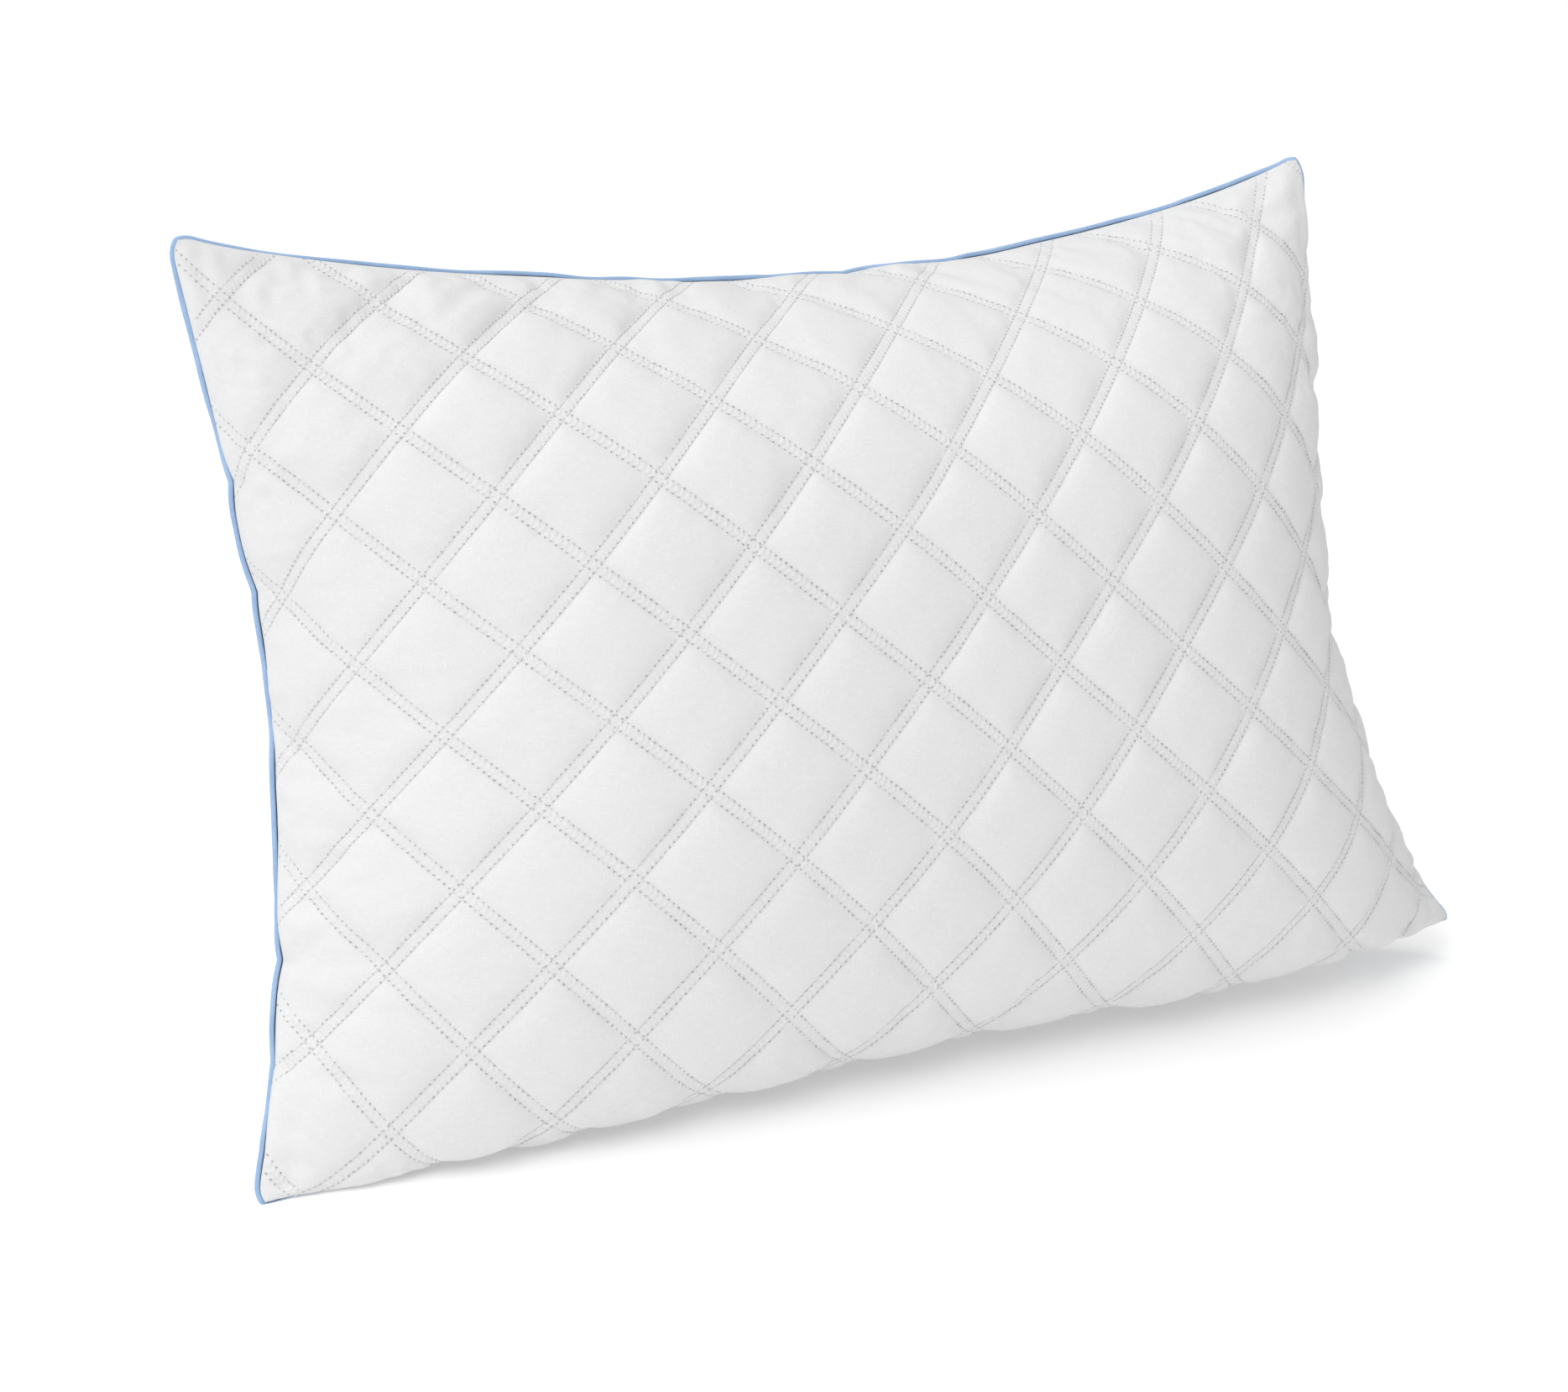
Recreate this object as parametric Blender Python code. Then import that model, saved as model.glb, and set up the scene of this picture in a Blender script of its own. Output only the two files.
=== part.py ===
"""Quilted bed pillow, standing on its lower long edge.

Frame: X along the pillow's long side, Z up, -Y out of the front face.  The origin is on the floor,
under the middle of the pillow's box.

The pillow is sewn from two quilted panels.  Each panel is a face fabric, a wadding and a lining,
nested one inside the other.  The face fabrics turn in at the seam, on each side of a corded piping
whose flange lies between them, and the fibre fill sits inside the linings.

Everything follows two coordinates that run over the pillow's face: across, from -1 at the left seam
to 1 at the right seam, and up, from -1 at the bottom seam to 1 at the top seam.
"""
import bpy
import bmesh
from math import asin, copysign, cos, exp, pi, radians, sin, sqrt
from mathutils import Vector

# Overall sizes, metres
SEAM_WIDTH = 0.716           # corner to corner along the long side, once filled
SEAM_HEIGHT = 0.470          # corner to corner along the short side, once filled
LOFT = 0.232                 # front face to back face at the middle
CORNER_RADIUS = 0.014        # of the sewn corners
LEAN = radians(12.0)         # the top leans back by this much
CORNER_LIFT = 0.0045         # of the lower corners' seam above the floor

# How far each seam pulls in between its corners
PULL_LEFT = 0.024
PULL_RIGHT = 0.054
PULL_TOP = 0.034
PULL_BOTTOM = 0.004

# How far each corner lies from its place on a plain rectangle: right, back and up
TOP_LEFT_REACH = (-0.006, 0.003, 0.006)
TOP_RIGHT_REACH = (-0.028, -0.008, 0.024)
BOTTOM_LEFT_REACH = (-0.024, -0.009, 0.0)
BOTTOM_RIGHT_REACH = (0.012, -0.010, 0.0)

# How far the middle of a seam bows back
LEFT_BOW = 0.012
RIGHT_BOW = -0.014
TOP_BOW = 0.012

# Shape of the crown: a higher fullness keeps the faces flat further out
FULLNESS_ACROSS = 3.2
FULLNESS_UP = 2.8
POWER_ACROSS = 0.58
POWER_UP = 0.58
BELLY = 0.20                 # the lower half is fuller than the upper half by this share
FILL_DRIFT = 0.02            # the right half is fuller than the left half by this share

# The weight of the filling presses both faces flat on the floor, beside the bottom seam
FRONT_SETTLE = 0.080         # how far the lower front face is pushed down
BACK_SETTLE = 0.090          # how far the lower back face is pushed down
SETTLE_START = 0.05          # share of the half height over which the push begins
SETTLE_REACH = 0.20          # share of the half height over which it dies away

# Cloth and wadding
FACE_THICKNESS = 0.0005
LINING_THICKNESS = 0.0004
WADDING_AT_SEAM = 0.0008
WADDING_AT_MIDDLE = 0.0030
LAYER_GAP = 0.0005           # clearance between the face fabric and the wadding
LINING_GAP = 0.0008          # clearance between the wadding and the lining
SEAM_ALLOWANCE = 0.010       # width of face fabric turned in at the seam

# Piping: a bias strip folded round a cord
PIPING_DIAMETER = 0.0030
PIPING_CLOTH = 0.0004
PIPING_CORD_GAP = 0.0003     # between the cord and the strip, and between the strip's two tails
PIPING_FLANGE = 0.008        # how far the strip's raw edges lie inside the seam line
PIPING_GAP = 0.0005          # clearance between the piping and the panels

FILL_CLEARANCE = 0.0040      # between the fibre fill and what surrounds it

# Mesh resolution
CELLS_ACROSS = 20
CELLS_UP = 18
ROW_CROWDING = 1.8           # rows lie closer together towards the bottom and top seams
PIPING_BENDS = 7             # facets of the strip round the cord
CORD_SIDES = 8

# Worked-out sizes
PIPING_RADIUS = PIPING_DIAMETER / 2
TAIL_INSIDE = PIPING_CORD_GAP / 2
TAIL_OUTSIDE = TAIL_INSIDE + PIPING_CLOTH
TURN_IN_PLANE = TAIL_OUTSIDE + PIPING_GAP
INNER_RIM_PLANE = TURN_IN_PLANE + FACE_THICKNESS + LAYER_GAP
STACK_AT_SEAM = FACE_THICKNESS + WADDING_AT_SEAM + LINING_THICKNESS + LAYER_GAP + LINING_GAP
RIM_HEIGHT = INNER_RIM_PLANE + STACK_AT_SEAM + LAYER_GAP
FRONT = -1
BACK = 1
WELD_DISTANCE = 0.000001
NORMAL_STEP = 0.01


def crown(value, fullness, power):
    """Height of the crown, 1 in the middle and 0 at the seam."""
    return max(0.0, 1.0 - abs(value) ** fullness) ** power


def full_crown(across, up):
    """Height of the crown over the whole face, 1 in the middle and 0 all round the seam."""
    return crown(across, FULLNESS_ACROSS, POWER_ACROSS) * crown(up, FULLNESS_UP, POWER_UP)


def rounded(x, z):
    """Pull a point of the sharp-cornered panel in so that the panel's corners are round."""
    straight_x = SEAM_WIDTH / 2 - CORNER_RADIUS
    straight_z = SEAM_HEIGHT / 2 - CORNER_RADIUS
    over_x = (abs(x) - straight_x) / CORNER_RADIUS
    over_z = (abs(z) - straight_z) / CORNER_RADIUS
    if over_x <= 0.0 or over_z <= 0.0:
        return x, z
    new_x = straight_x + CORNER_RADIUS * over_x * sqrt(1.0 - over_z ** 2 / 2)
    new_z = straight_z + CORNER_RADIUS * over_z * sqrt(1.0 - over_x ** 2 / 2)
    return copysign(new_x, x), copysign(new_z, z)


def drape(place):
    """How far a point is pulled right, back and up by the corners' reach and the seams' bows."""
    across = max(-1.0, min(1.0, place.x / (SEAM_WIDTH / 2)))
    up = max(-1.0, min(1.0, place.z / (SEAM_HEIGHT / 2)))
    top, bottom = max(up, 0.0), max(-up, 0.0)
    left, right = max(-across, 0.0), max(across, 0.0)
    pull = Vector(TOP_LEFT_REACH) * (top * left) ** 2
    pull += Vector(TOP_RIGHT_REACH) * (top * right) ** 2
    pull += Vector(BOTTOM_LEFT_REACH) * (bottom * left) ** 2
    pull += Vector(BOTTOM_RIGHT_REACH) * (bottom * right) ** 2
    pull.y += (LEFT_BOW * left ** 4 + RIGHT_BOW * right ** 4) * (1 - up ** 2)
    pull.y += TOP_BOW * top ** 4 * (1 - across ** 2)
    return pull


def plan_point(across, up, inset):
    """Where a point lies in the plane of the seam, inset from the seam line."""
    pull_side = PULL_LEFT if across < 0 else PULL_RIGHT
    pull_end = PULL_BOTTOM if up < 0 else PULL_TOP
    x, z = rounded(across * SEAM_WIDTH / 2, up * SEAM_HEIGHT / 2)
    x -= across * (pull_side * (1 - up ** 2) + inset)
    z -= up * (pull_end * (1 - across ** 2) + inset)
    return x, z


def stand(place, floor=0.0):
    """Drape a point, lean it back and stand it on the floor, or so far above it that it goes no lower."""
    x, y, z = place + drape(place)
    height = z + SEAM_HEIGHT / 2
    leaned_y = y * cos(LEAN) + height * sin(LEAN)
    leaned_z = height * cos(LEAN) - y * sin(LEAN) + CORNER_LIFT
    return Vector((x, leaned_y, max(leaned_z, floor)))


def settle(across, up, side):
    """How far the filling's weight pushes a point down towards the floor."""
    above_seam = 1.0 + up
    amount = BACK_SETTLE if side == BACK else FRONT_SETTLE
    amount *= (1 - exp(-above_seam / SETTLE_START)) * exp(-above_seam / SETTLE_REACH)
    return amount * crown(across, FULLNESS_ACROSS, POWER_ACROSS)


def outer_point(across, up, side, inset=0.0):
    """A point of the pillow's outside, before it is draped and leaned."""
    x, z = plan_point(across, up, inset)
    height = (LOFT / 2 - RIM_HEIGHT) * full_crown(across, up) * (1 - BELLY * up) * (1 + FILL_DRIFT * across)
    return Vector((x, side * (RIM_HEIGHT + height), z - settle(across, up, side)))


def seam_outward(across, up):
    """The direction out of the pillow in the plane of the seam, at a point of the seam line."""
    if abs(across) == 1.0 and abs(up) == 1.0:
        first = plan_point(across, up * (1 - NORMAL_STEP), 0.0)
        second = plan_point(across * (1 - NORMAL_STEP), up, 0.0)
    elif abs(up) == 1.0:
        first = plan_point(max(-1.0, across - NORMAL_STEP), up, 0.0)
        second = plan_point(min(1.0, across + NORMAL_STEP), up, 0.0)
    else:
        first = plan_point(across, max(-1.0, up - NORMAL_STEP), 0.0)
        second = plan_point(across, min(1.0, up + NORMAL_STEP), 0.0)
    direction = Vector((second[1] - first[1], first[0] - second[0])).normalized()
    return direction if direction.dot(Vector(plan_point(across, up, 0.0))) > 0 else -direction


def outward(across, up, side):
    """The direction out of the pillow at a point of its outside."""
    if max(abs(across), abs(up)) == 1.0:
        x, z = seam_outward(across, up)
        return Vector((x, 0.0, z))
    left = outer_point(max(-1.0, across - NORMAL_STEP), up, side)
    right = outer_point(min(1.0, across + NORMAL_STEP), up, side)
    below = outer_point(across, max(-1.0, up - NORMAL_STEP), side)
    above = outer_point(across, min(1.0, up + NORMAL_STEP), side)
    return (right - left).cross(above - below).normalized() * -side


def dome_point(across, up, side, depth, inset=0.0):
    """A point at a depth under the pillow's outside."""
    return stand(outer_point(across, up, side, inset) - outward(across, up, side) * depth, depth)


def rim_point(across, up, side, plane, inset):
    """A point of a layer's edge, which lies in a plane beside the seam's."""
    x, z = Vector(plan_point(across, up, 0.0)) - seam_outward(across, up) * inset
    return stand(Vector((x, side * plane, z)))


def wadding_thickness(across, up):
    """Squeezed flat at the seam, and full over the middle."""
    share = min(1.0, 2.0 * full_crown(across, up))
    return WADDING_AT_SEAM + (WADDING_AT_MIDDLE - WADDING_AT_SEAM) * share


def grid_sheet(mesh, place):
    """Add a grid over the whole panel, and give each vertex its place.  Returns its coordinates."""
    made = bmesh.ops.create_grid(mesh, x_segments=CELLS_ACROSS, y_segments=CELLS_UP, size=1.0)
    coordinates = {}
    for vertex in made["verts"]:
        across = sin(vertex.co.x * pi / 2)
        up = copysign(1.0 - (1.0 - abs(vertex.co.y)) ** ROW_CROWDING, vertex.co.y)
        coordinates[vertex] = (across, up)
        vertex.co = place(across, up)
    return coordinates


def rim_edges(coordinates):
    """The edges round the open border of a sheet."""
    edges = {edge for vertex in coordinates for edge in vertex.link_edges}
    return [edge for edge in edges if len(edge.link_faces) == 1]


def turn_rim(mesh, edges, coordinates, place):
    """Extrude a border once and place its new vertices.  Returns the new border."""
    made = bmesh.ops.extrude_edge_only(mesh, edges=edges)["geom"]
    fresh = [item for item in made if isinstance(item, bmesh.types.BMVert)]
    found = {}
    for vertex in fresh:
        source = next(edge.other_vert(vertex) for edge in vertex.link_edges
                      if edge.other_vert(vertex) in coordinates)
        found[vertex] = coordinates[source]
    for vertex, (across, up) in found.items():
        vertex.co = place(across, up)
    coordinates.update(found)
    return [item for item in made if isinstance(item, bmesh.types.BMEdge)
            and all(vertex in found for vertex in item.verts)]


def face_out(mesh):
    """Cut every layer's faces along the same diagonals, and turn them out of the closed body."""
    bmesh.ops.triangulate(mesh, faces=mesh.faces[:], quad_method="FIXED")
    bmesh.ops.recalc_face_normals(mesh, faces=mesh.faces[:])
    if mesh.calc_volume(signed=True) < 0.0:
        bmesh.ops.reverse_faces(mesh, faces=mesh.faces[:])


def new_object(name, mesh, material):
    """Make a bmesh into a smooth-shaded object."""
    data = bpy.data.meshes.new(name)
    mesh.to_mesh(data)
    mesh.free()
    data.materials.append(material)
    data.shade_smooth()
    made = bpy.data.objects.new(name, data)
    bpy.context.scene.collection.objects.link(made)
    return made


def new_material(name, color, roughness):
    """A plain cloth or fibre material."""
    material = bpy.data.materials.new(name)
    material.use_nodes = True
    shader = material.node_tree.nodes["Principled BSDF"]
    shader.inputs["Base Color"].default_value = (*color, 1.0)
    shader.inputs["Roughness"].default_value = roughness
    shader.inputs["Metallic"].default_value = 0.0
    return material


def two_sheet_body(name, first_sheet, rim_path, second_sheet, material):
    """A closed body of two sheets, joined by a rim that steps through the places of rim_path."""
    mesh = bmesh.new()
    coordinates = grid_sheet(mesh, first_sheet)
    border = rim_edges(coordinates)
    for place in [*rim_path, second_sheet]:
        border = turn_rim(mesh, border, coordinates, place)
    grid_sheet(mesh, second_sheet)
    bmesh.ops.remove_doubles(mesh, verts=mesh.verts[:], dist=WELD_DISTANCE)
    face_out(mesh)
    return new_object(name, mesh, material)


def face_fabric(name, side, material):
    """The outer cloth, turned in at the seam and running back beside the piping's flange."""
    inner_plane = TURN_IN_PLANE + FACE_THICKNESS
    rim_path = (
        lambda a, u: rim_point(a, u, side, TURN_IN_PLANE, 0.0),
        lambda a, u: rim_point(a, u, side, TURN_IN_PLANE, SEAM_ALLOWANCE),
        lambda a, u: rim_point(a, u, side, inner_plane, SEAM_ALLOWANCE),
        lambda a, u: rim_point(a, u, side, inner_plane, FACE_THICKNESS),
    )
    return two_sheet_body(name, lambda a, u: dome_point(a, u, side, 0.0), rim_path,
                          lambda a, u: dome_point(a, u, side, FACE_THICKNESS), material)


def inner_layer(name, side, top, bottom, material):
    """A wadding or a lining between two depths, cut off beside the seam."""
    rim_path = (
        lambda a, u: rim_point(a, u, side, INNER_RIM_PLANE, top(a, u)),
        lambda a, u: rim_point(a, u, side, INNER_RIM_PLANE, bottom(a, u)),
    )
    return two_sheet_body(name, lambda a, u: dome_point(a, u, side, top(a, u)), rim_path,
                          lambda a, u: dome_point(a, u, side, bottom(a, u)), material)


def wadding_top(across, up):
    return FACE_THICKNESS + LAYER_GAP


def wadding_bottom(across, up):
    return wadding_top(across, up) + wadding_thickness(across, up)


def lining_top(across, up):
    return wadding_bottom(across, up) + LINING_GAP


def lining_bottom(across, up):
    return lining_top(across, up) + LINING_THICKNESS


def fill_top(across, up):
    return lining_bottom(across, up) + FILL_CLEARANCE


def fibre_fill(material):
    """The loose fibre, which fills both linings and stops short of the turned-in seam."""
    inset = max(SEAM_ALLOWANCE, PIPING_FLANGE) + FILL_CLEARANCE
    return two_sheet_body("fibre_fill", lambda a, u: dome_point(a, u, FRONT, fill_top(a, u), inset), (),
                          lambda a, u: dome_point(a, u, BACK, fill_top(a, u), inset), material)


def seam_stations():
    """Points in order round the seam line, each with the direction out of the pillow."""
    rows = [copysign(1.0 - (1.0 - abs(g)) ** ROW_CROWDING, g)
            for g in (2 * i / CELLS_UP - 1 for i in range(CELLS_UP + 1))]
    columns = [sin((2 * i / CELLS_ACROSS - 1) * pi / 2) for i in range(CELLS_ACROSS + 1)]
    loop = [(a, -1.0) for a in columns[:-1]] + [(1.0, u) for u in rows[:-1]]
    loop += [(a, 1.0) for a in columns[:0:-1]] + [(-1.0, u) for u in rows[:0:-1]]
    return [(Vector(plan_point(a, u, 0.0)), seam_outward(a, u)) for a, u in loop]


def ring_body(name, profile, material):
    """Sweep a closed profile of (out, y) points round the seam line."""
    mesh = bmesh.new()
    rings = []
    for point, direction in seam_stations():
        ring = []
        for out, y in profile:
            place = point + direction * out
            ring.append(mesh.verts.new(stand(Vector((place.x, y, place.y)))))
        rings.append([mesh.edges.new((ring[i - 1], ring[i])) for i in range(len(ring))])
    for index, ring in enumerate(rings):
        bmesh.ops.bridge_loops(mesh, edges=rings[index - 1] + ring)
    face_out(mesh)
    return new_object(name, mesh, material)


def piping_centre():
    """How far outside the seam line the cord's middle runs."""
    return PIPING_RADIUS + PIPING_GAP


def arc(radius, start, end, count):
    """Points of an arc about the cord's middle."""
    angles = (start + (end - start) * i / (count - 1) for i in range(count))
    return [(piping_centre() + radius * cos(t), radius * sin(t)) for t in angles]


def piping_cover(material):
    """A bias strip folded round the cord, with its two tails between the turned-in fabrics."""
    inner_radius = PIPING_RADIUS - PIPING_CLOTH
    outer_turn = pi - asin(TAIL_OUTSIDE / PIPING_RADIUS)
    inner_turn = pi - asin(TAIL_INSIDE / inner_radius)
    profile = [(-PIPING_FLANGE, -TAIL_OUTSIDE)]
    profile += arc(PIPING_RADIUS, -outer_turn, outer_turn, PIPING_BENDS)
    profile += [(-PIPING_FLANGE, TAIL_OUTSIDE), (-PIPING_FLANGE, TAIL_INSIDE)]
    profile += arc(inner_radius, inner_turn, -inner_turn, PIPING_BENDS)
    profile += [(-PIPING_FLANGE, -TAIL_INSIDE)]
    return ring_body("piping_cover", profile, material)


def piping_cord(material):
    """The filler cord inside the bias strip."""
    radius = (PIPING_RADIUS - PIPING_CLOTH) * cos(pi / (2 * (PIPING_BENDS - 1))) ** 2 - PIPING_CORD_GAP
    turn = 2 * pi * (CORD_SIDES - 1) / CORD_SIDES
    return ring_body("piping_cord", arc(radius, 0.0, turn, CORD_SIDES), material)


def centre_on_floor(objects):
    """Shift everything so that the origin is under the middle of the pillow's box."""
    points = [vertex.co for made in objects for vertex in made.data.vertices]
    middle_x = (min(p.x for p in points) + max(p.x for p in points)) / 2
    middle_y = (min(p.y for p in points) + max(p.y for p in points)) / 2
    lowest = min(p.z for p in points)
    for point in points:
        point -= Vector((middle_x, middle_y, lowest))


def build():
    for old in bpy.data.objects[:]:
        bpy.data.objects.remove(old)

    white_cotton = new_material("white_cotton", (0.86, 0.86, 0.85), 0.85)
    wadding = new_material("wadding", (0.90, 0.90, 0.89), 0.95)
    lining = new_material("lining", (0.82, 0.82, 0.80), 0.90)
    fibre = new_material("fibre", (0.92, 0.92, 0.90), 0.95)
    blue_cotton = new_material("blue_cotton", (0.27, 0.46, 0.76), 0.80)
    cord_cotton = new_material("cord_cotton", (0.80, 0.78, 0.72), 0.90)

    objects = []
    for word, side in (("front", FRONT), ("back", BACK)):
        objects.append(face_fabric(word + "_face_fabric", side, white_cotton))
        objects.append(inner_layer(word + "_wadding", side, wadding_top, wadding_bottom, wadding))
        objects.append(inner_layer(word + "_lining", side, lining_top, lining_bottom, lining))
    objects.append(fibre_fill(fibre))
    objects.append(piping_cover(blue_cotton))
    objects.append(piping_cord(cord_cotton))
    centre_on_floor(objects)


build()
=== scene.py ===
"""Quilted bed pillow with blue piping: the finished surfaces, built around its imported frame."""

from math import cos, radians, sin, sqrt, tau

import bmesh
import bpy
import numpy as np
from bpy.props import FloatProperty, FloatVectorProperty, IntProperty, PointerProperty
from mathutils import Matrix, Vector


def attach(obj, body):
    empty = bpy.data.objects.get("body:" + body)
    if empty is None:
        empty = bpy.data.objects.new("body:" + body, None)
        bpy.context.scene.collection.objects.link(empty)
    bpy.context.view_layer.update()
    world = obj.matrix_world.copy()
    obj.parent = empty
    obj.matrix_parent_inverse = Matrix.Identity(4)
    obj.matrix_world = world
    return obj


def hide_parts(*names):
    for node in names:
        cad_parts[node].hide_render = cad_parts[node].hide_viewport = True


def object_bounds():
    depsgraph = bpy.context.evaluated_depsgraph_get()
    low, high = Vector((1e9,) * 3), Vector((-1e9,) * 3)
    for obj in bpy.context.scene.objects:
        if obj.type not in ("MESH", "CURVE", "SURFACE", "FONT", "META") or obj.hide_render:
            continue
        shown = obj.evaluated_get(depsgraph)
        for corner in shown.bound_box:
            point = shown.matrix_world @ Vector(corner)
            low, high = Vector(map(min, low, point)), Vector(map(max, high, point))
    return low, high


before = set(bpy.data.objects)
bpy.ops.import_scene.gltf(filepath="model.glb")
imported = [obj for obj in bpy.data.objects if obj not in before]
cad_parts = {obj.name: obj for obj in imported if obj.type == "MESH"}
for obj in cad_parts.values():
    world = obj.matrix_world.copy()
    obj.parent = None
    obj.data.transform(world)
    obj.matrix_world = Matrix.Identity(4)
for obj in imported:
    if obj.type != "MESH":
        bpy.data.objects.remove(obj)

bl_info = {
    "name": "Quilted Bed Pillow",
    "version": (1, 0, 0),
    "blender": (4, 5, 0),
    "location": "View3D > Sidebar > Pillow",
    "description": "Builds a diamond quilted bed pillow with piped seams",
    "category": "Add Mesh",
}

CAD_LOW, CAD_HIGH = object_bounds()
FRONT, BACK = -1, 1
FLAT = "flat"                # the UV map that holds a sheet's cut-out place, in metres

# Depths below the smooth face, of the outer and the inner side of each hidden layer, in metres
WADDING_DEPTHS = (0.0060, 0.0080)
LINING_DEPTHS = (0.0088, 0.0093)
FILL_DEPTH = 0.0125
DEEPEST = 0.0130             # what the layers together may take near the seam, and they share the room
ROOM_SHARE = 0.8             # of the half thickness there
LAYER_INSET = 0.012          # from the seam line to the border of each hidden layer

# The seam's wrinkles: height, reach in from the seam, size across and size up, in metres, and seed
RADIATING = (
    ("left", 0.0026, 0.030, 0.060, 0.020, 71),
    ("right", 0.0030, 0.034, 0.060, 0.021, 81),
    ("top", 0.0022, 0.026, 0.026, 0.050, 91),
    ("bottom", 0.0018, 0.030, 0.028, 0.060, 101),
)
CREASES = (
    ("left", 0.0017, 0.060, 0.052, 0.0085, 75),
    ("right", 0.0012, 0.050, 0.050, 0.0095, 85),
)

# The simulated slack of a face
SLACK_COLUMNS, SLACK_ROWS = 113, 81
SLACK_FRAMES = 24
BROAD_ROUNDS = 24            # of softening, which leaves the broad swelling without its wrinkles
SLACK_LIMIT = 0.0025         # the most that a wrinkle may rise or sink
SLACK_START = 0.0012         # height of the waves that it starts with
SLACK_SETTINGS = {
    "shrink_min": -0.018, "mass": 0.12, "quality": 6, "shear_stiffness": 8.0, "bending_stiffness": 0.12,
    "tension_stiffness": 25.0, "compression_stiffness": 25.0,
    "use_pressure": True, "uniform_pressure_force": 0.6,
}

# The key lamp's place and size, the direction of the light from above, and what the camera sees behind
KEY_PLACE, KEY_AIM, KEY_SIZE = (-1.7, -1.5, 2.3), (0, 0, 0.2), 1.6
OVERHEAD_WAY, OVERHEAD_SPREAD = (0.3, -0.1, -1.0), radians(60)
BACKDROP = 1.1

HOLE_EDGE = (0.00028, 0.00075)   # a needle hole's painted shade and dent are full within the first distance and gone past the second
SENSOR_WIDTH = 36.0          # millimetres


# ---------------------------------------------------------------- what a user would change

def length(name, description, default):
    return FloatProperty(name=name, description=description, default=default, unit="LENGTH", precision=5)


def turn(name, description, default):
    return FloatProperty(name=name, description=description, default=radians(default), unit="ROTATION")


def number(name, description, default):
    return FloatProperty(name=name, description=description, default=default)


def reach(name, default):
    text = "How far this corner lies from its place on a plain rectangle"
    return FloatVectorProperty(name=name, description=text, default=default, subtype="XYZ", unit="LENGTH")


def colour(name, description, default):
    return FloatVectorProperty(name=name, description=description, default=default, subtype="COLOR",
                               min=0, max=1)


class PillowShape(bpy.types.PropertyGroup):
    """The filled pillow, standing on its long lower seam and leaning back"""

    width: length("Width", "Corner to corner along the long side", 0.706)
    height: length("Height", "Corner to corner along the short side", 0.469)
    loft: length("Loft", "Front face to back face at the middle", 0.2188)
    rim: length("Rim", "From the seam's plane to the edge of each face", 0.0016)
    corner_radius: length("Corner radius", "Of the sewn corners", 0.014)
    lean: turn("Lean", "How far the top leans back", 12.21)
    corner_lift: length("Corner lift", "Height of the lower corners' seam above the floor", 0.0045)
    pull_left: length("Left pull", "How far the left seam pulls in between its corners", 0.0234)
    pull_right: length("Right pull", "How far the right seam pulls in", 0.0557)
    pull_top: length("Top pull", "How far the top seam pulls in", 0.0250)
    pull_bottom: length("Bottom pull", "How far the bottom seam pulls in", 0.0300)
    pull_shape_side: number("Side pull shape", "Higher keeps the ends' pull to the middle", 1.197)
    pull_shape_long: number("Long pull shape", "Higher keeps the long seams' pull to the middle", 0.7175)
    fullness_across: number("Fullness across", "Higher keeps the faces flat further out", 3.883)
    fullness_up: number("Fullness up", "Higher keeps the faces flat further up", 3.340)
    power_across: number("Edge across", "Lower makes the ends blunter", 0.7223)
    power_up: number("Edge up", "Lower makes the long edges blunter", 0.8252)
    belly: number("Belly", "Share by which the lower half is fuller", 0.2885)
    drift: number("Fill drift", "Share by which the right half is fuller", 0.2994)
    top_left: reach("Top left corner", (-0.0077, 0.0097, 0.0152))
    top_right: reach("Top right corner", (-0.0298, -0.0082, 0.0277))
    bottom_left: reach("Bottom left corner", (-0.0270, -0.0088, -0.0099))
    bottom_right: reach("Bottom right corner", (0.0248, -0.0431, 0.0081))
    left_bow: length("Left bow", "How far the left seam bows back", 0.040)
    right_bow: length("Right bow", "How far the right seam bows back", -0.017)
    top_bow: length("Top bow", "How far the top seam bows back", 0.040)
    settle_front: length("Front settle", "How far the lower front is pressed down", 0.070)
    settle_back: length("Back settle", "How far the lower back is pressed down", 0.090)
    pinch: length("Pinch", "How far the seams bulge out between their pinches", 0.006)
    settle_start: number("Settle start", "Share of the half height over which the press begins", 0.05)
    settle_reach: number("Settle reach", "Share of the half height over which it dies away", 0.20)


class Quilting(bpy.types.PropertyGroup):
    """The diamonds sewn into both faces"""

    half_diagonal: length("Half diagonal", "Of one diamond, on the flat cloth", 0.0396)
    first_u: length("First crossing, across", "Place of one crossing of the rows", -0.2568)
    first_v: length("First crossing, up", "Place of one crossing of the rows", 0.1462)
    divisions: IntProperty(name="Divisions", description="Mesh cells along a half diagonal", default=20)
    row_cells: IntProperty(name="Row cells", description="Cells from a row's centre to each stitch line",
                           default=2)
    puff: length("Puff", "Height of a diamond above its stitches", 0.0042)
    ridge: length("Ridge", "Height of the roll between the two stitch lines", 0.0006)
    pucker: length("Pucker", "Height of the small gathers beside the stitches", 0.00045)
    pitch: length("Stitch pitch", "Needle hole to needle hole", 0.0032)
    thread: length("Thread", "Thickness of the sewing thread", 0.00050)


class Trim(bpy.types.PropertyGroup):
    """The piping in the seam"""

    diameter: length("Piping diameter", "Over its cloth", 0.0030)
    cord: length("Cord diameter", "Of the cord inside", 0.0018)
    stations: IntProperty(name="Stations", description="Rings along the piping", default=1400)
    sides: IntProperty(name="Sides", description="Points round the piping", default=10)


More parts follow.
